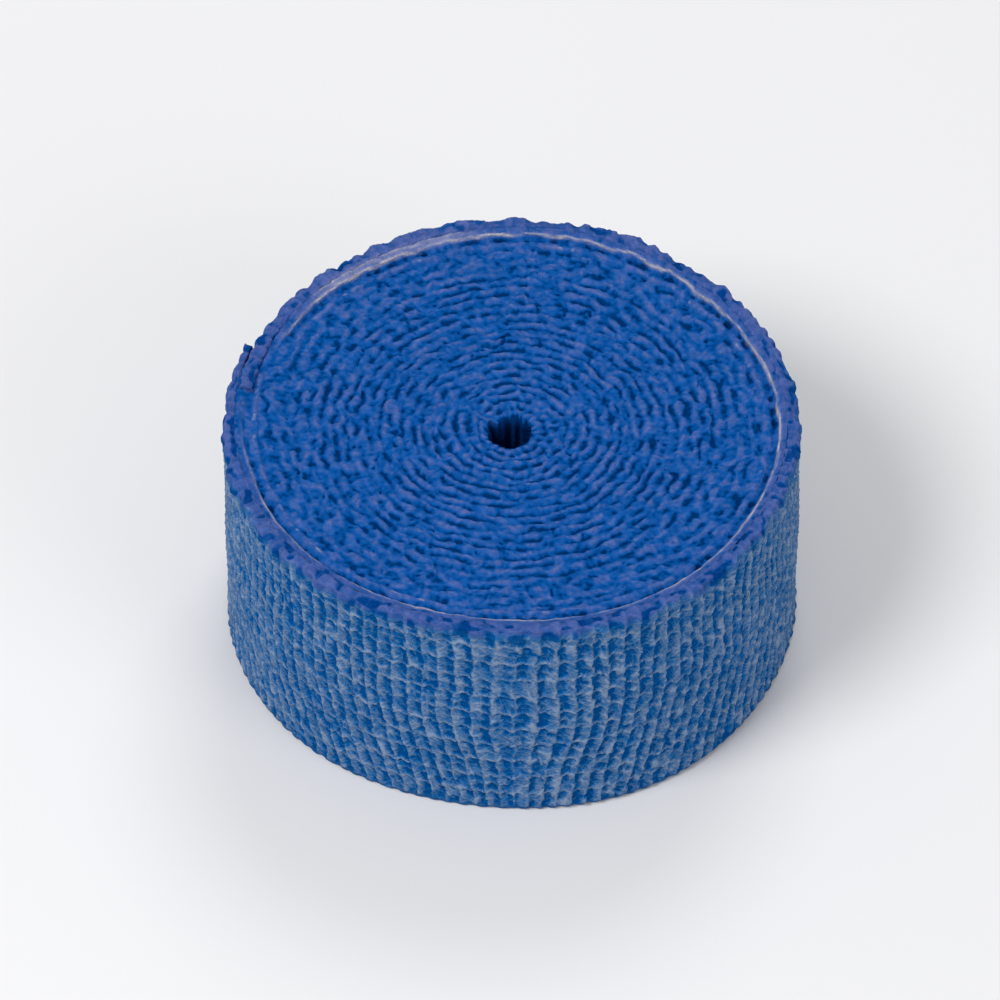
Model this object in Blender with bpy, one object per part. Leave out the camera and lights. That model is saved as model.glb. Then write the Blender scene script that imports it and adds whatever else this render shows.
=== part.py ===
# Cohesive bandage roll: one strip of crepe tape wound on itself round a small open eye.
# Metres, +Z up. The roll stands on one flat end; its axis is +Z through the origin.
import math

import bmesh
import bpy

# Driving dimensions
TAPE_WIDTH = 0.0250  # width of the tape, which is the height of the roll
ROLL_RADIUS = 0.02822  # outside radius at the loose end, which makes the roll 55 mm across
TURNS = 22  # turns between the outside and the eye
TAIL_ANGLE = math.radians(158.0)  # where the outer end of the tape is stuck down, left of the back
TAIL_PRESS = 0.00085  # how much the last stretch of tape is pressed flat at its end
TAIL_PRESS_ARC = math.radians(40.0)  # length of that stretch
GROOVE_DEPTH = 0.00060  # dip between the edges of neighbouring turns
LAND_SHARE = 0.62  # share of each turn that lies flat on the resting end
WALL_WAIST = 0.00022  # the wall is drawn in by this much just inside both rims
STEPS = 36  # corners round one turn

# The tape is loose outside and pressed thinner towards the eye: (turns from the outside,
# thickness that one turn takes up).
WIND_COLUMNS = ("turn", "thickness")
WIND_ROWS = (
    (0.0, 0.00150),
    (3.0, 0.00145),
    (8.0, 0.00115),
    (12.0, 0.00105),
    (23.0, 0.00102),
)

# Edges of the turns at the upper end, from the outside in: the outer turn stands up as a
# lip, the second is drawn down beside it, and the rest dish slightly towards the eye.
EDGE_COLUMNS = ("turn", "drop")
EDGE_ROWS = (
    (0.0, 0.00000),
    (0.9, 0.00010),
    (1.4, 0.00045),
    (2.5, 0.00065),
    (4.0, 0.00090),
    (9.0, 0.00105),
    (15.0, 0.00095),
    (23.0, 0.00125),
)

# The roll is not quite round: (lobes, height of the lobes, angle of the first one).
ROUND_COLUMNS = ("lobes", "height", "phase")
ROUND_ROWS = (
    (2, 0.00016, -0.90),
    (3, 0.00009, -0.74),
    (5, 0.00016, 0.15),
)

# The wall between the rims: (height as a share of the width, share of the waist taken in).
WALL_COLUMNS = ("height", "waist")
WALL_ROWS = (
    (0.930, 0.6),
    (0.760, 1.0),
    (0.500, 0.3),
    (0.240, 0.9),
    (0.070, 0.5),
)

BLUE = (0.055, 0.175, 0.47, 1.0)


def smooth(t):
    t = min(max(t, 0.0), 1.0)
    return t * t * (3.0 - 2.0 * t)


def edge_drop(turn):
    """How far the edge of a turn lies below the top of the roll."""
    for (t0, d0), (t1, d1) in zip(EDGE_ROWS, EDGE_ROWS[1:]):
        if turn <= t1:
            return d0 + (d1 - d0) * smooth((turn - t0) / (t1 - t0))
    return EDGE_ROWS[-1][1]


def wound_in(turn):
    """How far the winding has moved in from the outside after so many turns."""
    depth = 0.0
    for (t0, p0), (t1, p1) in zip(WIND_ROWS, WIND_ROWS[1:]):
        part = min(turn, t1) - t0
        if part > 0.0:
            depth += part * (p0 + 0.5 * (p1 - p0) * part / (t1 - t0))
    return depth


def out_of_round(angle):
    return sum(h * math.cos(n * (angle - phase)) for n, h, phase in ROUND_ROWS)


def spiral_radius(step, inward=0.0):
    """Radius of the tape's outer face at a step along the winding, moved inward by a share of a turn."""
    turned = step / STEPS
    angle = TAIL_ANGLE + 2.0 * math.pi * turned
    radius = ROLL_RADIUS - (1.0 - inward) * wound_in(turned) - inward * wound_in(turned + 1.0)
    radius += out_of_round(angle) * radius / ROLL_RADIUS
    arc = 2.0 * math.pi * turned / TAIL_PRESS_ARC
    if arc < 1.0 and inward < 1.0:
        radius -= TAIL_PRESS * (1.0 - smooth(arc)) * (1.0 - inward)
    return radius


def at(step, inward, height, waist=0.0):
    angle = TAIL_ANGLE + 2.0 * math.pi * step / STEPS
    r = spiral_radius(step, inward) - waist
    return (r * math.cos(angle), r * math.sin(angle), height)


def wound_roll(name):
    bm = bmesh.new()
    last = TURNS * STEPS

    # Lines that run along the winding. Upper end: a groove line and a crest line.
    # Lower end: a groove line and the two edges of the flat land between grooves.
    groove, crest, under, land_out, land_in = [], [], [], [], []
    side = (1.0 - LAND_SHARE) / 2.0
    for i in range(last + STEPS + 1):
        turn = i / STEPS
        top = TAPE_WIDTH - edge_drop(turn)
        rim = TAPE_WIDTH - edge_drop(max(turn - 0.5, 0.0)) - GROOVE_DEPTH
        groove.append(bm.verts.new(at(i, 0.0, min(rim, top - 0.75 * GROOVE_DEPTH))))
        under.append(bm.verts.new(at(i, 0.0, GROOVE_DEPTH)))
        if i <= last:
            crest.append(bm.verts.new(at(i, 0.5, top)))
            land_out.append(bm.verts.new(at(i, side, 0.0)))
            land_in.append(bm.verts.new(at(i, 1.0 - side, 0.0)))

    def ribbon(a, b, a0, b0, count):
        for i in range(count):
            bm.faces.new((a[a0 + i], a[a0 + i + 1], b[b0 + i + 1], b[b0 + i]))

    # Upper end: outer and inner flank of every turn's edge.
    ribbon(groove, crest, 0, 0, last)
    ribbon(crest, groove, 0, STEPS, last)
    # Lower end: groove flank, flat land, groove flank, facing down.
    ribbon(land_out, under, 0, 0, last)
    ribbon(land_in, land_out, 0, 0, last)
    ribbon(under, land_in, STEPS, 0, last)

    # Outer wall, closed at the tail by the cut end of the tape.
    rings = [groove[: STEPS + 1]]
    for share, waist in WALL_ROWS:
        rings.append(
            [
                bm.verts.new(at(i, 0.0, TAPE_WIDTH * share, WALL_WAIST * waist))
                for i in range(STEPS + 1)
            ]
        )
    rings.append(under[: STEPS + 1])
    for upper, lower in zip(rings, rings[1:]):
        ribbon(lower, upper, 0, 0, STEPS)
        bm.faces.new((lower[STEPS], lower[0], upper[0], upper[STEPS]))
    bm.faces.new((groove[STEPS], groove[0], crest[0]))
    bm.faces.new((under[0], under[STEPS], land_in[0], land_out[0]))

    # Wall of the eye, closed where the inner end of the tape stops.
    upper, lower = groove[last:], under[last:]
    ribbon(upper, lower, 0, 0, STEPS)
    bm.faces.new((upper[STEPS], upper[0], lower[0], lower[STEPS]))
    bm.faces.new((groove[last], groove[last + STEPS], crest[last]))
    bm.faces.new((under[last + STEPS], under[last], land_out[last], land_in[last]))

    # Centre the outline on the axis.
    for axis in (0, 1):
        low = min(v.co[axis] for v in bm.verts)
        high = max(v.co[axis] for v in bm.verts)
        for v in bm.verts:
            v.co[axis] -= (low + high) / 2.0
    bmesh.ops.recalc_face_normals(bm, faces=bm.faces)
    bmesh.ops.triangulate(bm, faces=bm.faces)

    mesh = bpy.data.meshes.new(name)
    bm.to_mesh(mesh)
    bm.free()
    mesh.shade_smooth()
    mesh.set_sharp_from_angle(angle=math.radians(28.0))
    roll = bpy.data.objects.new(name, mesh)
    bpy.context.scene.collection.objects.link(roll)
    return roll


def crepe_material(name, colour):
    material = bpy.data.materials.new(name)
    material.use_nodes = True
    shader = material.node_tree.nodes["Principled BSDF"]
    shader.inputs["Base Color"].default_value = colour
    shader.inputs["Roughness"].default_value = 0.9
    shader.inputs["Metallic"].default_value = 0.0
    material.diffuse_color = colour
    return material


for obj in list(bpy.data.objects):
    bpy.data.objects.remove(obj, do_unlink=True)

roll = wound_roll("bandage_roll")
roll.data.materials.append(crepe_material("blue_crepe", BLUE))
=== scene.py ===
# Cohesive bandage roll: the looks. One strip of blue elastic crepe, wound on itself.
# Lengths are in millimetres up to the point where a mesh is written, which is in metres.
import math

import bpy
import numpy as np
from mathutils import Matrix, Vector
from mathutils.geometry import tessellate_polygon


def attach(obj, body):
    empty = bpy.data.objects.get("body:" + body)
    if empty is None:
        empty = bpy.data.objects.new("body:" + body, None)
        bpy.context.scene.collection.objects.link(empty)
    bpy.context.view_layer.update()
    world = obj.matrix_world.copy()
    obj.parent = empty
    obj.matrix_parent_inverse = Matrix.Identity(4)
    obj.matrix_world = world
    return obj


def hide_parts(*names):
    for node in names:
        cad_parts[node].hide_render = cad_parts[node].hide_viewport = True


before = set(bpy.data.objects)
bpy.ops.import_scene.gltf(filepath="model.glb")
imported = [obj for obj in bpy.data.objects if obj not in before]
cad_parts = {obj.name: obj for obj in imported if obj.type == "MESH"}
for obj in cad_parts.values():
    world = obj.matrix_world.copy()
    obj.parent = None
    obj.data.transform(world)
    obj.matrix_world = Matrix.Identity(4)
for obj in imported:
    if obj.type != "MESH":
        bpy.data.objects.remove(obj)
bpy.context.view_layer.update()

# ---------------------------------------------------------------------------
# The winding, as in the solid
# ---------------------------------------------------------------------------
WIDTH = 25.0
ROLL_RADIUS = 28.22
TURNS = 22
TAIL_ANGLE = math.radians(158.0)
TAIL_PRESS = 0.85
TAIL_PRESS_ARC = math.radians(40.0)
WALL_WAIST = 0.22
STEPS = 36

WIND_COLUMNS = ("turn", "thickness")
WIND_ROWS = ((0.0, 1.50), (3.0, 1.45), (8.0, 1.15), (12.0, 1.05), (23.0, 1.02))
EDGE_COLUMNS = ("turn", "drop")
EDGE_ROWS = (
    (0.0, 0.00),
    (0.9, 0.10),
    (1.4, 0.45),
    (2.5, 0.65),
    (4.0, 0.90),
    (9.0, 1.05),
    (15.0, 0.95),
    (23.0, 1.25),
)
ROUND_COLUMNS = ("lobes", "height", "phase")
ROUND_ROWS = ((2, 0.16, -0.90), (3, 0.09, -0.74), (5, 0.16, 0.15))
WALL_COLUMNS = ("height", "waist")
WALL_ROWS = ((0.0, 0.0), (0.07, 0.5), (0.24, 0.9), (0.5, 0.3), (0.76, 1.0), (0.93, 0.6), (1.0, 0.0))


def smooth(t):
    t = np.clip(t, 0.0, 1.0)
    return t * t * (3.0 - 2.0 * t)


def column(rows, k):
    return np.array([row[k] for row in rows], float)


_turns = np.linspace(0.0, 25.0, 25001)
_thick = np.interp(_turns, column(WIND_ROWS, 0), column(WIND_ROWS, 1))
_depth = np.concatenate([[0.0], np.cumsum((_thick[1:] + _thick[:-1]) / 2.0 * np.diff(_turns))])


def wound_in(turn):
    return np.interp(turn, _turns, _depth)


def edge_drop(turn):
    t, d = column(EDGE_ROWS, 0), column(EDGE_ROWS, 1)
    k = np.clip(np.searchsorted(t, turn, side="right") - 1, 0, len(t) - 2)
    return d[k] + (d[k + 1] - d[k]) * smooth((turn - t[k]) / (t[k + 1] - t[k]))


def out_of_round(angle):
    return sum(h * np.cos(n * (angle - phase)) for n, h, phase in ROUND_ROWS)


def layer(turn):
    """Room that one turn takes up."""
    return wound_in(turn + 1.0) - wound_in(turn)


def press(turn):
    return TAIL_PRESS * (1.0 - smooth(2.0 * math.pi * turn / TAIL_PRESS_ARC))


def angle_at(turn):
    return TAIL_ANGLE + 2.0 * math.pi * turn


def radius(turn, inward):
    """Distance from the axis at a point of the winding, moved inward by a length in millimetres."""
    r = ROLL_RADIUS - wound_in(turn)
    r = r + out_of_round(angle_at(turn)) * r / ROLL_RADIUS
    return r - inward


def middle():
    """The point that the outline is centred on."""
    t = np.arange(STEPS + 1) / STEPS
    r = radius(t, press(t))
    x, y = r * np.cos(angle_at(t)), r * np.sin(angle_at(t))
    return (x.min() + x.max()) / 2.0, (y.min() + y.max()) / 2.0


CX, CY = middle()

# Length of tape from the loose end, along the middle of its thickness.
_t = np.linspace(0.0, TURNS, 22001)
_r = radius(_t, layer(_t) / 2.0)
_s = np.concatenate([[0.0], np.cumsum(2.0 * math.pi * (_r[1:] + _r[:-1]) / 2.0 * np.diff(_t))])


def length_at(turn):
    return np.interp(turn, _t, _s)


def turn_at(length):
    return np.interp(length, _s, _t)


def place(turn, r, z, along=0.0):
    """Points in millimetres; along moves a point round the roll."""
    angle = angle_at(turn) + along / np.maximum(r, 0.8)
    return np.stack([r * np.cos(angle) - CX, r * np.sin(angle) - CY, z + 0.0 * r], axis=-1)


# ---------------------------------------------------------------------------
# Smooth noise from fixed seeds
# ---------------------------------------------------------------------------
def noise2(x, y, seed):
    """Smooth noise, 0 to 1, with features about 1 across."""
    table = np.random.default_rng(seed).random((256, 256))
    i, j = np.floor(x).astype(int), np.floor(y).astype(int)
    f, g = x - i, y - j
    f, g = f * f * (3.0 - 2.0 * f), g * g * (3.0 - 2.0 * g)
    a, b = table[i & 255, j & 255], table[(i + 1) & 255, j & 255]
    c, d = table[i & 255, (j + 1) & 255], table[(i + 1) & 255, (j + 1) & 255]
    return (a * (1 - f) + b * f) * (1 - g) + (c * (1 - f) + d * f) * g


def signed2(x, y, seed):
    return 2.0 * noise2(x, y, seed) - 1.0


def facets(x, y, seed):
    """Noise of flat three-cornered facets, -1 to 1, about 1 across."""
    table = np.random.default_rng(seed).random((256, 256))
    x, y = x + 0.5 * y + 0.35 * signed2(x / 1.7, y / 1.7, seed + 500), y + 0.35 * signed2(x / 1.6, y / 1.8, seed + 600)
    i, j = np.floor(x).astype(int), np.floor(y).astype(int)
    f, g = x - i, y - j
    a, b = table[i & 255, j & 255], table[(i + 1) & 255, j & 255]
    c, d = table[i & 255, (j + 1) & 255], table[(i + 1) & 255, (j + 1) & 255]
    low, high = a + f * (b - a) + g * (c - a), d + (1.0 - f) * (c - d) + (1.0 - g) * (b - d)
    return 2.0 * np.where(f + g < 1.0, low, high) - 1.0


def along1(s, size, seed):
    """Smooth noise, -1 to 1, along a line."""
    return signed2(s / size, np.zeros_like(s) + 0.5, seed)


def jagged(s, size, seed):
    """Straight steps between random levels, -1 to 1, along a line."""
    rng = np.random.default_rng(seed)
    knots = np.cumsum(size * (0.35 + 1.3 * rng.random(int(s.max() / size * 1.2) + 40))) - size
    return np.interp(s, knots, 2.0 * rng.random(len(knots)) - 1.0)


def cell(i, j, seed):
    """One random number, 0 to 1, for each cell of a grid."""
    table = np.random.default_rng(seed).random((256, 256))
    return table[i.astype(int) & 255, j.astype(int) & 255]


def wavy(s, wavelength, seed, spread=0.35):
    """Wandering wave along s (evenly spaced), about 1 high, of the given mean wavelength."""
    step = float(s[1] - s[0])
    n = 1 << int(math.ceil(math.log2(len(s) + 64)))
    rng = np.random.default_rng(seed)
    f = np.fft.rfftfreq(n, step)
    centre = 1.0 / wavelength
    shape = np.exp(-(((f - centre) / (spread * centre)) ** 2))
    spectrum = shape * np.exp(2j * math.pi * rng.random(len(f)))
    w = np.fft.irfft(spectrum, n)[: len(s)]
    return np.tanh(w / (w.std() * 1.3 + 1e-12)) * 1.15


def labyrinth(x, y, wavelength, seed, spread=0.28, span=64.0):
    """Worm-like pattern, -1 to 1, that repeats after the span both ways."""
    n = int(span * 16)
    rng = np.random.default_rng(seed)
    k = np.hypot(np.fft.fftfreq(n, span / n)[:, None], np.fft.rfftfreq(n, span / n)[None, :])
    shape = np.exp(-(((k * wavelength - 1.0) / spread) ** 2))
    table = np.fft.irfft2(shape * np.exp(2j * math.pi * rng.random(k.shape)), (n, n))
    table = table / table.std()
    x, y = x * n / span, y * n / span
    i, j = np.floor(x).astype(int), np.floor(y).astype(int)
    f, g = x - i, y - j
    i, j, i1, j1 = i % n, j % n, (i + 1) % n, (j + 1) % n
    low = table[i, j] * (1 - f) + table[i1, j] * f
    return np.tanh(1.2 * (low * (1 - g) + (table[i, j1] * (1 - f) + table[i1, j1] * f) * g))


# ---------------------------------------------------------------------------
# The crepe of the outer face
# ---------------------------------------------------------------------------
RIPPLE = 1.40  # spacing of the crosswise puckers along the tape
YARN = 2.28  # spacing of the strong lengthwise elastic yarns; a thin one runs between each pair
LEAN = 0.26  # how far the puckers lean on the front of the roll, per millimetre of width
FRONT = 1.5 * math.pi  # angle that faces the camera
RELIEF = 0.32  # height of the puckers
MEAN_RELIEF = 0.56  # level of the crepe that lies on the winding's own radius

FIBRE_COLUMNS = ("angle to the length", "width", "length", "seed", "weight")
FIBRE_ROWS = (
    (0.62, 0.60, 2.4, 21, 1.0),
    (-0.50, 0.62, 2.5, 22, 0.9),
    (1.35, 0.58, 2.2, 23, 0.9),
    (2.20, 0.62, 2.3, 24, 0.9),
    (0.08, 0.55, 2.6, 25, 0.8),
)


def from_front(s):
    """Distance along the outer turn from the middle of the front, to the right positive."""
    off = (angle_at(turn_at(s)) - FRONT + math.pi) % (2.0 * math.pi) - math.pi
    return off * ROLL_RADIUS


def fibre_bundles(s, w):
    """Bundles of fibre that cross the crepe in several directions, 0 to 1."""
    out = 0.0
    for turned, across, along, seed, weight in FIBRE_ROWS:
        c, d = math.cos(turned), math.sin(turned)
        x, y = (-s * d + w * c) / across, (s * c + w * d) / along
        q = 1.0 - np.abs(signed2(x, y, seed))
        gate = smooth((noise2(x / 1.5, y * 1.2, seed + 90) - 0.46) / 0.2)
        out = np.maximum(out, smooth((q - 0.62) / 0.38) * gate * weight)
    return out


def crepe(s, w):
    """Level of the crepe, 0 in the hollows and 1 on the crests, at a length and a width."""
    side = from_front(s)
    back = smooth((44.0 - np.abs(side)) / 14.0)
    lean = -np.tanh(side / 6.0) * back
    # The puckers fold over towards the middle of the front, from both sides.
    flip = smooth((side + 2.0) / 4.0) * (1.0 - smooth((np.abs(side) - 83.0) / 4.0))
    reach = np.where(w < 15.0, w - 4.0 - 0.5 * np.maximum(w - 8.0, 0.0) ** 2 / 7.0, 7.5)
    wander = 0.50 * signed2(s / 6.0, w / 6.0, 11) + 0.26 * signed2(s / 2.4, w / 2.0, 12)
    ragged_s = 0.055 * signed2(s / 0.62, w / 0.50, 37) + 0.022 * signed2(s / 0.27, w / 0.25, 39)
    ragged_w = 0.085 * signed2(s / 0.60, w / 0.66, 38) + 0.040 * signed2(s / 0.26, w / 0.28, 40)

    # Rows between yarns, counted in half spacings. The yarns zigzag in step with the puckers.
    u0 = (s + LEAN * lean * reach + 0.42 * wander) / RIPPLE + ragged_s
    tooth = np.abs(((u0 + 0.12) % 1.0) - 0.5) * 4.0 - 1.0
    v = 2.0 * w / YARN + 0.14 * signed2(s / 9.0, w / 9.0, 13) + 0.10 * signed2(s / 1.5, w / 1.5, 14)
    v = v + 0.18 * tooth + ragged_w
    j = np.floor(v)
    f = v - j
    near, df = np.where(f < 0.5, j, j + 1), np.minimum(f, 1.0 - f)
    strong = (near.astype(int) & 1) == 0
    odd = (j.astype(int) & 1) == 1

    # Puckers: a crest, a pad that falls away from it, and a hollow before the next crest.
    shift = 0.11 * signed2(s / 2.2, j * 7.31 + 3.0, 15)
    hook = (0.13 * smooth(1.0 - df / 0.30) * np.where(strong, 1.0, 0.45) - 0.05) * (1.0 - 2.0 * flip)
    u = u0 + shift - hook
    i = np.floor(u)
    a = u - i
    r1, r2, r3 = cell(i, j, 31), cell(i, j, 32), cell(i, np.floor(j / 2), 33)
    r1 = 0.4 * r1 + 0.6 * cell(i, np.floor(j / 2), 57)
    # How far each hollow sinks; through the level it also darkens the colour there, as painted shade.
    sunk_and_shaded = np.where(odd, 1.0, 0.82) * (0.46 + 0.54 * smooth(r1 * 1.5))
    sunk_and_shaded = sunk_and_shaded * (0.74 + 0.26 * cell(i, np.floor(j / 6), 34))
    sunk_and_shaded = np.where(r2 > 0.91, 0.25 * sunk_and_shaded, sunk_and_shaded)

    def profile(a):
        edge = 0.50 + 0.22 * (r3 - 0.5)
        hollow = 0.78 * smooth((a - edge) / 0.10) + 0.47 * smooth((a - edge - 0.05) / 0.34)
        hollow = hollow * smooth((1.0 - a) / 0.085)
        crest = np.exp(-(((a - 0.05) / 0.12) ** 2)) + np.exp(-(((a - 1.05) / 0.09) ** 2))
        return hollow, crest, 0.58 - 0.16 * smooth(a / 0.60)

    hollow, crest, pad = (p * (1.0 - flip) + q * flip for p, q in zip(profile(a), profile(1.0 - a)))
    closed_low = np.where(odd, 0.05 + 0.75 * cell(i, j, 51), 1.0)
    closed_high = np.where(odd, 1.0, 0.05 + 0.75 * cell(i, j + 1, 51))
    ends = 1.0 - closed_low * (1.0 - smooth((f - 0.02) / 0.24))
    ends = ends * (1.0 - closed_high * (1.0 - smooth((1.0 - f) / 0.16)))

    h = pad + crest * (0.02 + 0.36 * noise2(s / 0.8, w / 0.7, 16) ** 1.5)
    h = h + 0.21 * facets(s / 0.66, w / 0.74, 35) + 0.11 * facets(s / 0.34, w / 0.36, 36)
    h = h - hollow * ends * sunk_and_shaded * (0.84 + 0.30 * signed2(s / 0.33, w / 0.45, 52))
    pit = smooth((noise2(s / 0.62, w / 0.75, 41) - 0.70) / 0.14) * 0.40
    h = h - pit * (1.0 - crest * 0.6)

    # The yarns lie in low ridges, broken up by the web, with a spur at each crest.
    firm = 0.80 + 0.32 * noise2(s / 0.9, near * 3.3, 17)
    faint = 0.02 + 0.62 * smooth(noise2(s / 1.1, near * 4.9, 18) * 1.5 - 0.35)
    line = np.where(strong, firm, faint) * np.exp(-((df / np.where(strong, 0.125, 0.085)) ** 2))
    line = line * (0.72 + 0.28 * signed2(s / 0.35, w / 0.22, 53))
    h = h + line * (0.98 - h) * 0.92
    h = h + 0.22 * np.exp(-((df / 0.22) ** 2)) * np.where(strong, 1.0, 0.45) * np.clip(crest, 0, 1)
    h = h + fibre_bundles(s, w) * np.clip(0.36 * (1.0 - 0.55 * h), 0.0, 1.0)
    return np.clip(h, 0.0, 1.15)


# ---------------------------------------------------------------------------
# Meshes
# ---------------------------------------------------------------------------
def grid_normals(points, sheet=0):
    """Normals of a grid of points[column, corner] whose corners close on themselves.

    The first corners, as many as sheet says, count as a sheet with free borders."""
    along = np.gradient(points, axis=0)
    round_ = np.roll(points, -1, 1) - np.roll(points, 1, 1)
    if sheet:
        round_[:, :sheet] = np.gradient(points[:, :sheet], axis=1)
    n = np.cross(round_, along)
    return n / (np.linalg.norm(n, axis=-1, keepdims=True) + 1e-12)


def strip_mesh(name, points, normals, attributes, share, rows, material):
    """A closed strip of points[column, corner], capped at both ends, laid out flat in rows of a map.

    share[corner] is how far round the section a corner lies in the map, 0 to 1, with one more
    number for the way back to the first corner."""
    n, m = points.shape[:2]
    verts = points.reshape(-1, 3) * 0.001
    i = np.arange(n - 1)[:, None] * m
    j = np.arange(m)[None, :]
    k = (j + 1) % m
    quads = np.stack([i + j, i + k, i + m + k, i + m + j], axis=-1).reshape(-1, 4)

    # Volume by the divergence theorem, to have the faces point out.
    a, b, c, d = (verts[quads[:, q]] for q in range(4))
    volume = (np.einsum("ij,ij->i", a, np.cross(b, c)) + np.einsum("ij,ij->i", a, np.cross(c, d))).sum()
    inside_out = volume < 0

    def cap(ring, offset, forward):
        """Triangles that close one end, whose outer edges run forward or back round the section."""
        outline = [Vector(p) for p in ring.tolist()]
        tris = np.array(tessellate_polygon([outline]), int)
        a, b, c = (ring[tris[:, q]] for q in range(3))
        faces_way = np.cross(b - a, c - a).sum(0)
        ring_way = np.cross(ring - ring.mean(0), np.roll(ring, -1, 0) - ring.mean(0)).sum(0)
        if (np.dot(faces_way, ring_way) > 0) != forward:
            tris = tris[:, ::-1]
        flat = np.stack([np.hypot(*(ring - ring.min(0))[:, :2].T), ring[:, 2] - ring[:, 2].min()], -1)
        flat = (flat - flat.min(0)) / (np.ptp(flat, axis=0) + 1e-9)
        return tris + offset, flat[tris]

    first, flat_first = cap(points[0], 0, False)
    last, flat_last = cap(points[-1], (n - 1) * m, True)

    per = int(math.ceil((n - 1) / rows))
    col = np.arange(n - 1)
    row, at = col // per, col % per
    edge = 0.90 if rows > 1 else 1.0
    wide = 0.965
    u0, u1 = wide * at / per, wide * (at + 1) / per
    base = (row + 0.5 * (1.0 - edge)) / rows
    v0, v1 = share[:-1] * edge / rows, share[1:] * edge / rows
    uv = np.empty((n - 1, m, 4, 2))
    uv[:, :, 0, 0] = uv[:, :, 1, 0] = u0[:, None]
    uv[:, :, 2, 0] = uv[:, :, 3, 0] = u1[:, None]
    uv[:, :, 0, 1] = uv[:, :, 3, 1] = base[:, None] + v0[None, :]
    uv[:, :, 1, 1] = uv[:, :, 2, 1] = base[:, None] + v1[None, :]
    uv = uv.reshape(-1, 4, 2)
    uv_first = flat_first * (0.012, 0.98) + (0.972, 0.01)
    uv_last = flat_last * (0.012, 0.98) + (0.986, 0.01)
    if inside_out:
        quads, uv = quads[:, ::-1], uv[:, ::-1]
        first, last = first[:, ::-1], last[:, ::-1]
        uv_first, uv_last = uv_first[:, ::-1], uv_last[:, ::-1]
        normals = -normals

    loops = np.concatenate([quads.ravel(), first.ravel(), last.ravel()]).astype(np.int32)
    sizes = np.concatenate([np.full(len(quads), 4), np.full(len(first) + len(last), 3)]).astype(np.int32)
    starts = np.concatenate([[0], np.cumsum(sizes)[:-1]]).astype(np.int32)
    mesh = bpy.data.meshes.new(name)
    mesh.vertices.add(len(verts))
    mesh.vertices.foreach_set("co", verts.astype(np.float32).ravel())
    mesh.loops.add(len(loops))
    mesh.loops.foreach_set("vertex_index", loops)
    mesh.polygons.add(len(sizes))
    mesh.polygons.foreach_set("loop_start", starts)
    mesh.update(calc_edges=True)
    flat = mesh.uv_layers.new(name="OFBake")
    flat.uv.foreach_set(
        "vector",
        np.concatenate([uv.reshape(-1, 2), uv_first.reshape(-1, 2), uv_last.reshape(-1, 2)])
        .astype(np.float32)
        .ravel(),
    )
    for key, values in attributes.items():
        kind = "FLOAT_VECTOR" if values.ndim == 3 else "FLOAT"
        made = mesh.attributes.new(key, kind, "POINT")
        whole = values.reshape(-1, 3) if kind == "FLOAT_VECTOR" else values.reshape(-1)
        made.data.foreach_set("vector" if kind == "FLOAT_VECTOR" else "value", whole.astype(np.float32).ravel())
    mesh.shade_smooth()
    # Smooth across the strip and from piece to piece; the caps stay flat.
    by_corner = normals.reshape(-1, 3)[quads.ravel()]
    for points3 in (first, last):
        corners = verts[points3]
        n3 = np.cross(corners[:, 1] - corners[:, 0], corners[:, 2] - corners[:, 0]).sum(0)
        n3 = n3 / (np.linalg.norm(n3) + 1e-12)
        by_corner = np.concatenate([by_corner, np.repeat(n3[None], 3 * len(points3), 0)])
    mesh.normals_split_custom_set(by_corner.tolist())
    obj = bpy.data.objects.new(name, mesh)
    bpy.context.scene.collection.objects.link(obj)
    mesh.materials.append(material)
    return obj


def rounded(line, times=3):
    """A polyline with its corners cut, ends kept."""
    p = np.array(line, float)
    for _ in range(times):
        q = np.empty((2 * len(p) - 2, 2))
        q[0::2] = 0.75 * p[:-1] + 0.25 * p[1:]
        q[1::2] = 0.25 * p[:-1] + 0.75 * p[1:]
        p = np.concatenate([p[:1], q, p[-1:]])
    return p


def spaced(line, pitch):
    """Points about pitch apart along a polyline."""
    line = np.asarray(line, float)
    run = np.concatenate([[0.0], np.cumsum(np.linalg.norm(np.diff(line, axis=0), axis=1))])
    count = max(int(round(run[-1] / pitch)) + 1, 2)
    at = np.linspace(0.0, run[-1], count)
    return np.stack([np.interp(at, run, line[:, 0]), np.interp(at, run, line[:, 1])], -1)


PITCH = 0.1295  # of the outer turn's mesh, in both directions

# Section of the outer turn: share of the thickness inward from the outer face, height.
SECTION_COLUMNS = ("inward", "height")
LIP_ROWS = (
    (0.00, 23.90),
    (0.00, 24.35),
    (0.05, 24.70),
    (0.20, 24.92),
    (0.45, 25.00),
    (0.75, 24.97),
    (0.94, 24.90),
    (1.00, 24.78),
    (1.00, 23.60),
)
RIM_COLUMNS = ("degrees from the back, to the right", "rise")  # steps of the lip on the far side
RIM_ROWS = (
    (-48, 0.00), (-44, 0.10), (-42, 0.45), (-39, -0.40), (-36, 0.05), (-33, -0.40), (-30, 0.20),
    (-26, -0.05), (-24, 0.50), (-20, 0.50), (-15, -0.20), (-13, 0.35), (-9, 0.45), (-3, -0.15),
    (-1, 0.20), (4, -0.40), (22, 0.50), (22, 0.20), (25, 0.50), (30, 0.20), (34, -0.40),
    (38, -0.40), (40, 0.05), (41, -0.40), (45, -0.40), (49, 0.00),
)
INNER_ROWS = ((1.00, 22.60), (1.00, 20.00), (1.00, 3.00), (1.00, 1.20))
FOOT_ROWS = ((0.97, 0.45), (0.86, 0.00), (0.60, 0.00), (0.34, 0.00), (0.10, 0.10), (0.01, 0.36))


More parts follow.
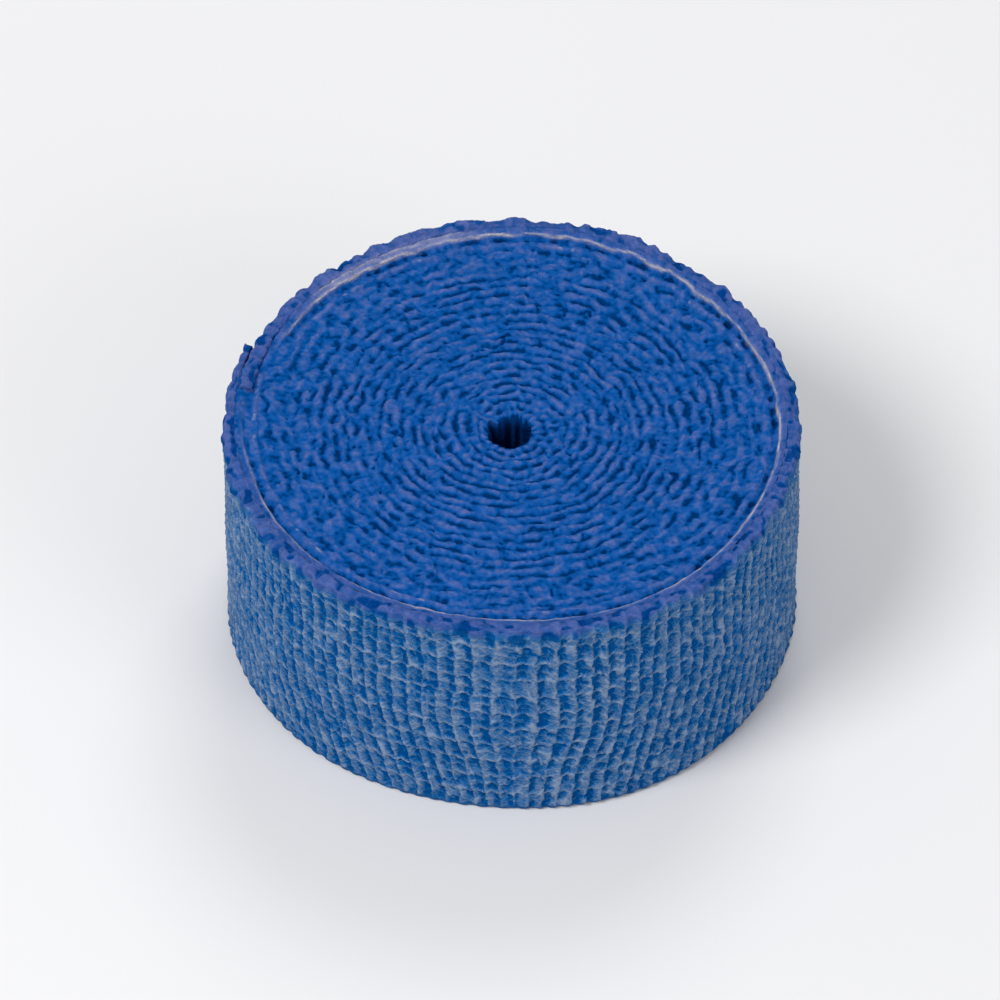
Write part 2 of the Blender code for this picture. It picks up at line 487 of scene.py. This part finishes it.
def outer_turn(material):
    """The outermost turn, with the crepe of its face, its soft rim and its cut end."""
    end = float(length_at(1.035))
    count = int(round(end / PITCH)) + 1
    s1 = np.linspace(0.0, end, count)
    t1 = turn_at(s1)
    face = [(0.0, z) for z in np.arange(0.60, 23.9, PITCH)]
    lip = spaced(rounded([(f * 1.5, z) for f, z in LIP_ROWS]), PITCH) / (1.5, 1.0)
    section = np.array([*face, *lip, *INNER_ROWS, *FOOT_ROWS], float)
    f, z = section[:, 0], section[:, 1]
    m = len(section)
    on_face = np.arange(m) < len(face)
    on_lip = (np.arange(m) >= len(face)) & (np.arange(m) < len(face) + len(lip))
    foot = np.arange(m) >= m - len(FOOT_ROWS)

    # Way round the section from the foot of the wall, and which way the surface faces.
    run = np.concatenate([[0.0], np.cumsum(np.hypot(np.diff(f * 1.5), np.diff(z)))]) + 0.60
    d_in, d_up = np.gradient(f * 1.5), np.gradient(z)
    size = np.hypot(d_in, d_up) + 1e-9
    out, up = d_up / size, d_in / size
    out[on_face], up[on_face] = 1.0, 0.0
    out[~(on_face | on_lip)], up[~(on_face | on_lip)] = 0.0, 0.0
    out[foot] = (0.6 - f[foot]) * (z[foot] > 0)

    waist = np.interp(z / WIDTH, column(WALL_ROWS, 0), column(WALL_ROWS, 1)) * WALL_WAIST
    waist = np.where(on_face, waist, 0.0)
    crown = np.where(on_lip, smooth((z - 23.9) / 0.8) * smooth((1.02 - f) / 0.12), 0.0)
    top = np.maximum(np.where(on_face, smooth((z - 22.0) / 2.2), 0.0), np.where(on_lip, 1.0, 0.0))
    weight = np.where(on_face, 1.0 - 0.35 * top, np.where(on_lip, 0.16 + 0.34 * np.abs(out), 0.2))
    weight = weight * np.where(on_face | foot, smooth((z + 0.05) / 0.7), 1.0)

    s = np.repeat(s1[:, None], m, 1)
    wide = np.repeat(np.where(on_face | on_lip, run, z - 0.6)[None, :], count, 0)
    # The cut end is a little ragged across the width.
    ragged = 0.26 * along1(run, 1.7, 31) + 0.16 * along1(run, 0.5, 32)
    s = s + (1.0 - smooth(s / 2.4)) * (ragged[None, :] + 0.25)
    t = turn_at(s)
    thick = layer(t) - press(t)
    h = crepe(s, wide)
    depth = f[None, :] * thick

    # Broad unevenness of the wall, and the soft swells, dimples and nicks of the rim.
    broad = 0.16 * signed2(s / 15.0, wide / 11.0, 33) + 0.07 * signed2(s / 5.0, wide / 4.0, 34)
    rise = jagged(s1, 2.1, 41) * 0.23 + jagged(s1, 0.8, 42) * 0.05 + 0.10 * along1(s1, 9.0, 43)
    nick = smooth((along1(s1, 1.5, 47) - 0.62) / 0.22) * 0.30
    r1 = radius(t1, 0.0)
    from_back = np.degrees(np.arctan2(r1 * np.cos(angle_at(t1)) - CX, r1 * np.sin(angle_at(t1)) - CY))
    rise = rise + np.interp(from_back, column(RIM_ROWS, 0), column(RIM_ROWS, 1))
    fade = 1.0 - 0.85 * smooth((f - 0.30) / 0.6)
    rise = (rise - nick - 0.04)[:, None] * fade[None, :] + 0.07 * signed2(s / 1.9, depth / 1.1, 48)
    dimple = smooth((noise2(s / 0.85, depth / 0.50 + 9.0, 49) - 0.63) / 0.15)
    rise = rise - 0.17 * dimple + 0.03 * signed2(s / 0.40, depth / 0.40, 50)
    sway = wavy(s1, 2.3, 44, 0.5)[:, None] * 0.13 + wavy(s1, 6.5, 45)[:, None] * 0.10
    foot_sway = wavy(s1, 1.5, 46)[:, None] * 0.08
    start = smooth(s / 1.6)
    lift = (h - MEAN_RELIEF) * RELIEF * weight[None, :] * (0.35 + 0.65 * start)
    inward = waist[None, :] + depth + press(t)
    free = np.where(on_face | on_lip, 1.0 - smooth((f - 0.35) / 0.60), 0.0)[None, :]
    inward = inward - lift * out[None, :] - broad * free * 0.8 - top[None, :] * sway * free
    inward = inward - np.where(foot, 1.0, 0.0)[None, :] * foot_sway
    zz = z[None, :] + crown[None, :] * rise + lift * up[None, :]
    zz = zz - top[None, :] * edge_drop(t) * 0.9 * smooth((wide - 22.0) / 2.0)
    zz = np.where(z[None, :] == 0.0, 0.0, np.clip(zz, 0.02, None))
    r = radius(t, 0.0) - inward
    points = place(t, r, zz)

    # The colour level follows the crepe, with painted shade in its hollows; on the lip it is lighter on the swells as
    # a painted highlight and darker in the dimples as painted shade.
    level = np.where(on_lip[None, :], 0.56 + 0.30 * (h - MEAN_RELIEF) - 0.42 * dimple + 0.4 * rise, h)
    level = np.where(foot[None, :], 0.42, level)
    over = smooth((z[None, :] - 24.05 + 0.45 * signed2(s / 1.6, wide / 1.2, 56)) / 0.8)
    over = np.maximum(over, np.where(on_lip, smooth((f - 0.10) / 0.2), 0.0)[None, :])
    rim = np.where((on_face | on_lip)[None, :], over, np.where(foot, 0.25, 1.0)[None, :])
    lip_share = np.where((on_face | on_lip)[None, :], over, 0.0)
    # A light lavender painted sheen over the inner part of the lip, on part of the far side.
    painted_sheen = smooth((t - 0.825) / 0.03) * (1.0 - smooth((t - 0.930) / 0.03))
    painted_sheen = np.where(on_lip, smooth((f - 0.62) / 0.25), 0.0)[None, :] * painted_sheen * (0.30 + 0.30 * signed2(s / 1.0, depth / 0.5, 54))
    # The hidden inner face is darkened in colour: painted shade.
    sunk_and_shaded = np.where(~(on_face | on_lip) & (z > 2.0), 1.0, 0.0)
    attributes = {
        "tape": np.stack([s, wide, depth], axis=-1),
        "relief": np.clip(level, 0.0, 1.15),
        "rim": rim,
        "lip": lip_share,
        "painted_highlight": 0.0 * h,
        "painted_sheen": np.clip(painted_sheen, 0, 1) + 0.0 * h,
        "sunk_and_shaded": np.repeat(sunk_and_shaded[None, :], count, 0),
    }
    normals = grid_normals(points)
    # In the map the hidden inner face takes little room.
    room = np.hypot(np.diff(np.append(f, f[0]) * 1.5), np.diff(np.append(z, z[0])))
    room = np.minimum(room, 0.3)
    share = np.concatenate([[0.0], np.cumsum(room)]) / room.sum()
    made = []
    cuts = [0, count // 3, 2 * (count // 3), count - 1]
    for letter, low, high in zip("abc", cuts[:-1], cuts[1:]):
        part = slice(low, high + 1)
        made.append(
            strip_mesh(
                f"tape_outer_turn_{letter}",
                points[part],
                normals[part],
                {key: value[part] for key, value in attributes.items()},
                share,
                1,
                material,
            )
        )
    return made


# The upper end from the second turn on, as heights across a turn, 0 outside and 1 inside. The
# second turn leans on the outer one and falls into a groove; the third is a low ridge.
ACROSS_COLUMNS = ("second turn", "other turns")
ACROSS_ROWS = (
    (0.00, 0.00),
    (0.15, 0.11),
    (0.29, 0.22),
    (0.40, 0.33),
    (0.49, 0.44),
    (0.58, 0.56),
    (0.68, 0.67),
    (0.79, 0.78),
    (0.90, 0.89),
    (1.00, 1.00),
)
JOINT_COLUMNS = ("turn", "height")  # of the joint outside a turn, at the upper end
JOINT_ROWS = ((1.00, 24.76), (1.96, 24.76), (2.03, 24.22), (2.95, 24.22), (3.05, 23.95), (26.0, 23.95))
SHAPE_COLUMNS = ("across", "second turn", "third turn")
SHAPE_ROWS = (
    (0.00, 0.00, 0.00),
    (0.12, -0.06, 0.03),
    (0.24, -0.06, 0.12),
    (0.33, -0.01, 0.12),
    (0.42, 0.02, 0.03),
    (0.52, -0.06, -0.06),
    (0.65, -0.22, -0.13),
    (0.78, -0.24, -0.08),
    (0.92, -0.06, -0.02),
    (1.00, 0.00, 0.00),
)
CREST_AT = 0.40  # place of the crest across the second turn
FACE_SINK = 0.22  # how far the crumpled face lies below the crests of the solid


def inner_turns(name, first, last, step, corners, seed, material):
    """The turns inside the outer one: crinkled edges that lie pressed together at the upper end."""
    s1 = np.arange(float(length_at(first)), float(length_at(last)), step)
    t1 = turn_at(s1)
    n = len(s1)
    room = layer(t1)
    base = radius(t1, 0.0)
    loose1 = smooth((t1 - 2.15) / 1.1)  # from the neat second turn to the crumpled rest
    at = np.linspace(0.0, 1.0, len(ACROSS_ROWS))
    k = np.linspace(0.0, 1.0, corners)
    neat_q, free_q = np.interp(k, at, column(ACROSS_ROWS, 0)), np.interp(k, at, column(ACROSS_ROWS, 1))
    q = neat_q[None, :] * (1.0 - loose1[:, None]) + free_q[None, :] * loose1[:, None]

    # Where a point of the end lies before it is moved: the noise runs on from turn to turn.
    t = np.repeat(t1[:, None], corners, 1)
    s = np.repeat(s1[:, None], corners, 1)
    r = base[:, None] - q * room[:, None]
    r[:, 0] += 0.09 * smooth((1.99 - t1) / 0.02)  # the second turn reaches under the rim of the outer one
    angle = angle_at(t)
    x, y = r * np.cos(angle), r * np.sin(angle)
    second, third = smooth((t - 1.04) / 0.10) * smooth((2.01 - t) / 0.05), smooth((t - 2.0) / 0.05) * smooth((3.0 - t) / 0.06)
    across = smooth((q - 0.30) / 0.6)

    def inside(turn, width):
        """0 outside a turn's own beginning and 1 inside it, the same on both sides of a joint."""
        return (1.0 - across) * smooth((t - turn) / width) + across * smooth((t + 1.0 - turn) / width)

    calm = inside(2.96, 0.10)
    push = calm * (0.17 * signed2(x / 0.95, y / 0.95, 61) + 0.20 * signed2(x / 2.2, y / 2.2, 62))
    slide = calm * (0.15 * signed2(x / 0.90, y / 0.90, 63) + 0.18 * signed2(x / 2.3, y / 2.3, 64))
    early = (1.0 - calm) * inside(1.96, 0.08)
    push = push + early * (0.10 * signed2(x / 1.3, y / 1.3, 58) + 0.10 * signed2(x / 3.1, y / 3.1, 59))

    # Crumple: worm-like folds, drawn out along the winding.
    folds = labyrinth(x, y, 1.25, 71)
    round_ = angle / (2.0 * math.pi)
    inmost = smooth((15.5 - r) / 3.0)
    arcs = labyrinth(round_ * 64.0, r * 1.05, 1.25, 72) * (1.0 - inmost)
    arcs = arcs + labyrinth(round_ * 32.0, r * 1.05, 1.25, 77, span=32.0) * inmost
    arc_share = 0.60 + 0.12 * smooth((t + q - 4.0) / 5.0)
    worms = np.tanh(1.25 * (folds * (1.0 - arc_share) + arcs * arc_share) / 0.75)
    fine = labyrinth(x, y, 0.70, 73)
    uneven = 0.5 + 0.5 * labyrinth(x, y, 5.0, 74, 0.5)

    # The joint between two turns shows as a shallow crease that comes and goes; the crease is also darker in colour,
    # as painted shade.
    joint = np.minimum(q, 1.0 - q)
    show = smooth((labyrinth(x, y, 2.6, 75, 0.5) + 0.75) / 1.1)
    crease = np.exp(-((joint / 0.17) ** 2)) * (0.20 + 0.80 * show) * calm
    wound = calm * smooth((t + q - 4.3) / 2.5)
    ridges = -0.5 * np.cos(2.0 * math.pi * q) * wound
    joints = column(JOINT_ROWS, 0), column(JOINT_ROWS, 1)
    neat = np.interp(t, *joints) * (1.0 - smooth(q)) + np.interp(t + 1.0, *joints) * smooth(q)
    for share_of, k in ((second, 1), (third, 2)):
        neat = neat + share_of * np.interp(q, column(SHAPE_ROWS, 0), column(SHAPE_ROWS, k))
    plain_face = WIDTH - edge_drop(t + q - 0.5) - FACE_SINK
    height = neat * (1.0 - calm) + plain_face * calm
    sway = 0.05 * wavy(s1, 2.1, seed + 5, 0.6)[:, None] * smooth(q / 0.3) * smooth((1.0 - q) / 0.3) * (1.0 - calm)
    relief = worms * 0.040 + fine * 0.018 + 0.05 * labyrinth(x, y, 3.0, 76, 0.5)
    height = height + sway + relief * (0.7 + 0.3 * calm) * smooth((t + q - 1.05) / 0.2)
    height = height + 0.10 * ridges - (0.06 + 0.06 * wound) * crease

    # Holes, most of them in the grooves inside the second turn and the third: sunk into the end, and darkened in
    # colour as painted shade.
    grooves = second * np.exp(-(((q - 0.73) / 0.17) ** 2)) + 0.6 * third * np.exp(-(((q - 0.68) / 0.16) ** 2))
    gap = smooth((noise2(x / 0.66, y / 0.66, 81) + 0.10 * grooves - 0.76) / 0.11) * np.clip(grooves, 0, 1)
    hole = smooth((noise2(x / 0.60, y / 0.60, 69) - 0.88) / 0.08) * calm
    height = height - 0.30 * gap - 0.18 * hole

    # The colour level: darker at the joints and creases as painted shade, lighter in the middle of each wound ridge as
    # a painted highlight.
    level = 0.42 + (0.33 - 0.06 * wound) * worms + 0.12 * fine + 0.16 * (uneven - 0.5)
    level = level - (0.12 + 0.14 * wound) * crease + 0.20 * ridges
    crest = second * np.exp(-(((q - CREST_AT) / 0.14) ** 2)) + third * np.exp(-(((q - 0.28) / 0.15) ** 2))
    apron = second * (1.0 - smooth((q - 0.22) / 0.16))
    # On the neat turns the crests are lighter as a painted highlight and the grooves darker as painted shade.
    neat_tone = 0.44 + 0.20 * crest - 0.22 * grooves + (0.26 * worms + 0.12 * fine) * (1.0 - 0.5 * apron)
    # Dark spots on the apron, in colour only, are painted shade of small dimples.
    painted_pit_shade = smooth((noise2(x / 0.70, y / 0.70, 88) - 0.74) / 0.12) * apron
    level = level * calm + (neat_tone - 0.34 * painted_pit_shade) * (1.0 - calm)
    # Cream lines along the crest of the second turn and at its start on the left, and cream dots on the third turn:
    # painted highlights, broken up along their length.
    swerve = 0.10 * signed2(x / 1.9, y / 1.9, 82) + 0.05 * signed2(x / 0.60, y / 0.60, 83)
    highlight_breakup = 0.55 + 0.45 * signed2(x / 0.42, y / 0.42, 87)
    keen = np.repeat((0.76 + 0.55 * along1(s1, 3.4, 84) + 0.42 * along1(s1, 0.9, 85))[:, None], corners, 1)
    line = second * np.exp(-(((q + swerve - CREST_AT - 0.02) / 0.064) ** 2)) * np.clip(keen, 0.16, 1.1)
    highlight_dots = smooth((noise2(s / 0.60, s * 0.0 + 2.0, 86) - 0.80) / 0.16)
    highlight_specks = third * np.exp(-(((q + swerve - 0.27) / 0.07) ** 2)) * highlight_dots * (0.55 + 0.45 * highlight_breakup)
    left = smooth((t - 1.825) / 0.03) * (1.0 - smooth((t - 1.930) / 0.03))
    left_highlight_line = left * np.exp(-(((q + swerve - 0.04) / 0.055) ** 2)) * np.clip(keen, 0.2, 1.0)
    painted_highlight = np.maximum(line, 0.8 * left_highlight_line) * (0.62 + 0.50 * highlight_breakup) + 0.50 * highlight_specks
    # A light lavender painted sheen between the two highlight lines on the left.
    painted_sheen = left * smooth((0.55 - q) / 0.12) * (0.62 + 0.30 * signed2(x / 0.8, y / 0.8, 55))
    # Holes, gaps and creases are darkened in colour: painted shade.
    sunk_and_shaded = np.clip(gap * 1.1 + hole * 0.8 + 0.10 * crease, 0.0, 1.2)

    # Down the inner side, under the foot and up the outer side.
    wave = wavy(s1, 1.7, seed + 7, 0.45) * 0.10 * room
    flutes = wavy(s1, 1.35, seed + 11, 0.4) * 0.22 + wavy(s1, 3.6, seed + 12, 0.4) * 0.14
    flutes = flutes * smooth((t1 - (TURNS - 1.3)) / 0.3)
    side_rows = ((1.0, 1.7, 0.0), (1.0, None, 1.2), (0.82, None, 0.0), (0.50, None, 0.0),
                 (0.18, None, 0.0), (0.0, None, 1.2), (0.0, 1.7, 0.0))
    points, levels, painted_highlight_rows, painted_sheen_rows, sunk_and_shaded_rows = [place(t, r + push, height, slide)], [level], [painted_highlight], [painted_sheen], [sunk_and_shaded]
    edge = WIDTH - edge_drop(t1)
    # The first bit runs inside the end of the piece before it, so its foot is kept just clear.
    clear = 0.05 * (1.0 - smooth((t1 - first - 0.016) / 0.008))
    for inward, drop, rise in side_rows:
        rr = base - inward * room + (wave if drop is None else 0.0 * room)
        rr = rr + (flutes if inward == 1.0 else 0.0)
        zz = edge - drop if drop is not None else rise + clear
        points.append(place(t1, rr, zz)[:, None, :])
        # The sides of each turn, hidden between its neighbours, get a low level and strong darkening as painted shade;
        # the underside keeps a middle level.
        levels.append(np.full((n, 1), 0.45 if rise == 0.0 and drop is None else 0.25))
        painted_highlight_rows.append(np.zeros((n, 1)))
        painted_sheen_rows.append(np.zeros((n, 1)))
        sunk_and_shaded_rows.append(np.full((n, 1), 0.0 if rise == 0.0 and drop is None else 0.9))
    points = np.concatenate(points, axis=1)
    level, painted_highlight, painted_sheen, sunk_and_shaded = (np.concatenate(c, axis=1) for c in (levels, painted_highlight_rows, painted_sheen_rows, sunk_and_shaded_rows))
    m = points.shape[1]
    attributes = {
        "tape": points + np.array([0.0, 0.0, 100.0]),
        "relief": np.clip(level, 0.0, 1.15),
        "rim": np.ones((n, m)),
        "lip": np.pad(apron, ((0, 0), (0, m - corners))),
        "painted_highlight": np.clip(painted_highlight, 0.0, 1.0),
        "painted_sheen": np.clip(painted_sheen, 0.0, 1.0),
        "sunk_and_shaded": sunk_and_shaded,
    }
    room_in_map = np.array([1.0] * corners + [1.2, 1.0, 1.0, 1.0, 1.0, 1.2, 1.2])
    share = np.concatenate([[0.0], np.cumsum(room_in_map)]) / room_in_map.sum()
    rows = max(int(round(math.sqrt(n * step / 2.6))), 1)
    return strip_mesh(name, points, grid_normals(points, corners), attributes, share, rows, material)


# ---------------------------------------------------------------------------
# Material
# ---------------------------------------------------------------------------
def crepe_cloth(name):
    mat = bpy.data.materials.new(name)
    mat.use_nodes = True
    tree = mat.node_tree
    nodes, links = tree.nodes, tree.links
    nodes.clear()

    def node(kind, **values):
        made = nodes.new(kind)
        for key, value in values.items():
            setattr(made, key, value)
        return made

    def attr(key, output="Fac"):
        return node("ShaderNodeAttribute", attribute_name=key).outputs[output]

    def math_node(op, a, b=None, clamp=False):
        made = node("ShaderNodeMath", operation=op, use_clamp=clamp)
        for socket, value in zip(made.inputs, (a, b)):
            if value is None:
                continue
            if isinstance(value, (int, float)):
                socket.default_value = value
            else:
                links.new(value, socket)
        return made.outputs[0]

    def mix(factor, a, b, blend="MIX"):
        made = node("ShaderNodeMix", data_type="RGBA", blend_type=blend)
        for socket, value in ((made.inputs[0], factor), (made.inputs[6], a), (made.inputs[7], b)):
            if isinstance(value, (int, float, tuple)):
                socket.default_value = value
            else:
                links.new(value, socket)
        return made.outputs[2]

    def ramp(factor, stops):
        made = node("ShaderNodeValToRGB")
        line = made.color_ramp
        while len(line.elements) < len(stops):
            line.elements.new(0.5)
        for element, (at, colour) in zip(line.elements, stops):
            element.position = at
            element.color = (*colour, 1.0)
        links.new(factor, made.inputs[0])
        return made.outputs[0]

    def scaled(vector, by):
        made = node("ShaderNodeVectorMath", operation="MULTIPLY")
        links.new(vector, made.inputs[0])
        made.inputs[1].default_value = by
        return made.outputs[0]

    def turned(vector, angle):
        made = node("ShaderNodeVectorRotate", rotation_type="Z_AXIS")
        links.new(vector, made.inputs["Vector"])
        made.inputs["Angle"].default_value = angle
        return made.outputs[0]

    def noise(vector, scale, detail=2.0, rough=0.5):
        made = node("ShaderNodeTexNoise")
        links.new(vector, made.inputs["Vector"])
        made.inputs["Scale"].default_value = scale
        made.inputs["Detail"].default_value = detail
        made.inputs["Roughness"].default_value = rough
        return made.outputs["Fac"]

    tape = attr("tape", "Vector")
    relief, rim, lip, painted_highlight, painted_sheen, sunk_and_shaded = (attr(key) for key in ("relief", "rim", "lip", "painted_highlight", "painted_sheen", "sunk_and_shaded"))

    # Fine fibres of the nonwoven web: families of thin strands, and a soft mottle.
    strands = None
    for angle, across, along in ((0.60, 1.45, 0.17), (-0.55, 1.35, 0.16), (1.30, 1.5, 0.18), (2.25, 1.4, 0.17), (0.05, 1.3, 0.15)):
        fine = noise(scaled(turned(tape, angle), (along, across, 1.0)), 1.0, 0.0, 0.5)
        line = math_node("MULTIPLY", math_node("SUBTRACT", fine, 0.5), 27.0)
        line = math_node("SUBTRACT", 1.0, math_node("ABSOLUTE", line), clamp=True)
        strands = line if strands is None else math_node("MAXIMUM", strands, line)
    mottle = noise(tape, 1.9, 3.0, 0.6)
    grain = noise(tape, 7.0, 2.0, 0.6)
    uneven = math_node("SUBTRACT", mottle, 0.5)

    height = math_node("ADD", relief, math_node("MULTIPLY", uneven, 0.14))
    height = math_node("ADD", height, math_node("MULTIPLY", math_node("SUBTRACT", strands, 0.30), 0.46))
    height = math_node("MULTIPLY", height, 0.92, clamp=True)
    # The colour follows the level of the crepe: the hollows are darker as painted shade and the crests paler grey-blue
    # as painted sheen.
    wall = ramp(height, (
        (0.05, (0.0002, 0.068, 0.276)),
        (0.26, (0.0020, 0.106, 0.330)),
        (0.46, (0.038, 0.142, 0.350)),
        (0.70, (0.088, 0.182, 0.368)),
        (0.96, (0.200, 0.280, 0.425)),
    ))
    edge_height = math_node("ADD", relief, math_node("MULTIPLY", uneven, 0.35))
    # Holes, gaps, creases and hidden faces are darkened here: painted shade.
    edge_height = math_node("SUBTRACT", edge_height, math_node("MULTIPLY", sunk_and_shaded, 0.60))
    edge_height = math_node("ADD", edge_height, math_node("MULTIPLY", strands, 0.05), clamp=True)
    edge = ramp(edge_height, (
        (0.02, (0.0002, 0.028, 0.135)),
        (0.18, (0.0004, 0.066, 0.290)),
        (0.42, (0.009, 0.086, 0.338)),
        (0.66, (0.036, 0.102, 0.345)),
        (0.94, (0.085, 0.132, 0.362)),
    ))
    roll_over = ramp(edge_height, (
        (0.05, (0.0004, 0.042, 0.215)),
        (0.26, (0.008, 0.072, 0.280)),
        (0.52, (0.046, 0.096, 0.318)),
        (0.92, (0.100, 0.138, 0.365)),
    ))
    colour = mix(rim, wall, mix(lip, edge, roll_over))
    # The light lavender mix is a painted sheen on the lip and the second turn.
    colour = mix(math_node("MULTIPLY", painted_sheen, math_node("ADD", 0.50, grain), clamp=True), colour, (0.190, 0.215, 0.400, 1.0))
    # The cream mix is a painted highlight along the crests of the inner turns.
    highlight_mix = math_node("MULTIPLY", painted_highlight, math_node("ADD", 0.30, math_node("MULTIPLY", grain, 1.2)), clamp=True)
    colour = mix(highlight_mix, colour, (0.50, 0.455, 0.44, 1.0))

    bump_height = math_node("ADD", math_node("MULTIPLY", strands, 0.5), math_node("MULTIPLY", grain, 0.5))
    bump = node("ShaderNodeBump")
    bump.inputs["Strength"].default_value = 0.8
    bump.inputs["Distance"].default_value = 0.00015
    links.new(bump_height, bump.inputs["Height"])

    shader = node("ShaderNodeBsdfPrincipled")
    links.new(colour, shader.inputs["Base Color"])
    links.new(bump.outputs[0], shader.inputs["Normal"])
    links.new(math_node("ADD", 0.76, math_node("MULTIPLY", mottle, 0.18)), shader.inputs["Roughness"])
    shader.inputs["Specular IOR Level"].default_value = 0.01
    out = node("ShaderNodeOutputMaterial")
    links.new(shader.outputs[0], out.inputs[0])
    return mat


def plain(name, colour, rough):
    mat = bpy.data.materials.new(name)
    mat.use_nodes = True
    shader = mat.node_tree.nodes["Principled BSDF"]
    shader.inputs["Base Color"].default_value = (*colour, 1.0)
    shader.inputs["Roughness"].default_value = rough
    return mat


cloth = crepe_cloth("blue_crepe_cloth")
pieces = outer_turn(cloth)
pieces.append(inner_turns("tape_turns_2_to_8", 1.02, 8.0, 0.160, 10, 101, cloth))
pieces.append(inner_turns("tape_turns_8_to_22", 7.985, 21.98, 0.155, 8, 201, cloth))
for piece in pieces:
    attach(piece, "root")
    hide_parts("bandage_roll")

# ---------------------------------------------------------------------------
# Floor, lights and camera
# ---------------------------------------------------------------------------
floor_mesh = bpy.data.meshes.new("floor")
floor_mesh.from_pydata([(-2, -2, 0), (2, -2, 0), (2, 2, 0), (-2, 2, 0)], [], [(0, 1, 2, 3)])
floor = bpy.data.objects.new("floor", floor_mesh)
floor_mesh.materials.append(plain("floor_paper", (0.72, 0.72, 0.73), 0.8))
bpy.context.scene.collection.objects.link(floor)


def soft_light(name, place_at, size, power, colour=(1.0, 1.0, 1.0)):
    data = bpy.data.lights.new(name, "AREA")
    data.shape = "DISK"
    data.size = size
    data.energy = power
    data.color = colour
    lamp = bpy.data.objects.new(name, data)
    bpy.context.scene.collection.objects.link(lamp)
    lamp.location = place_at
    aim = Vector((0.0, 0.0, 0.012)) - Vector(place_at)
    lamp.rotation_euler = aim.to_track_quat("-Z", "Y").to_euler()
    return lamp


soft_light("key_light", (-0.35, -0.25, 0.55), 0.30, 3.2)
soft_light("fill_light", (0.50, -0.45, 0.35), 0.45, 1.5)
soft_light("top_light", (0.10, 0.45, 0.55), 0.35, 1.6)

world = bpy.data.worlds.new("studio")
bpy.context.scene.world = world
world.use_nodes = True
world.node_tree.nodes["Background"].inputs[0].default_value = (1.0, 1.0, 1.0, 1.0)
world.node_tree.nodes["Background"].inputs[1].default_value = 0.42

ELEVATION = math.radians(47.0)
DISTANCE = 0.95
PIXELS_PER_MM = 10.41
camera_data = bpy.data.cameras.new("camera")
camera = bpy.data.objects.new("camera", camera_data)
bpy.context.scene.collection.objects.link(camera)
camera_data.sensor_width = 36.0
camera_data.lens = 36.0 * PIXELS_PER_MM * DISTANCE
camera_data.clip_start = 0.01
camera_data.clip_end = 20.0
# The roll's middle lies 12.5 px right of and 9.3 px below the middle of the picture.
right, up = -0.0125 / PIXELS_PER_MM, 0.0093 / PIXELS_PER_MM
up_y, up_z = math.sin(ELEVATION), math.cos(ELEVATION)
camera.location = (
    right,
    -DISTANCE * math.cos(ELEVATION) + up * up_y,
    0.0125 + DISTANCE * math.sin(ELEVATION) + up * up_z,
)
camera.rotation_euler = (math.pi / 2.0 - ELEVATION, 0.0, 0.0)
bpy.context.scene.camera = camera

scene = bpy.context.scene
scene.view_settings.view_transform = "Standard"
scene.view_settings.look = "None"
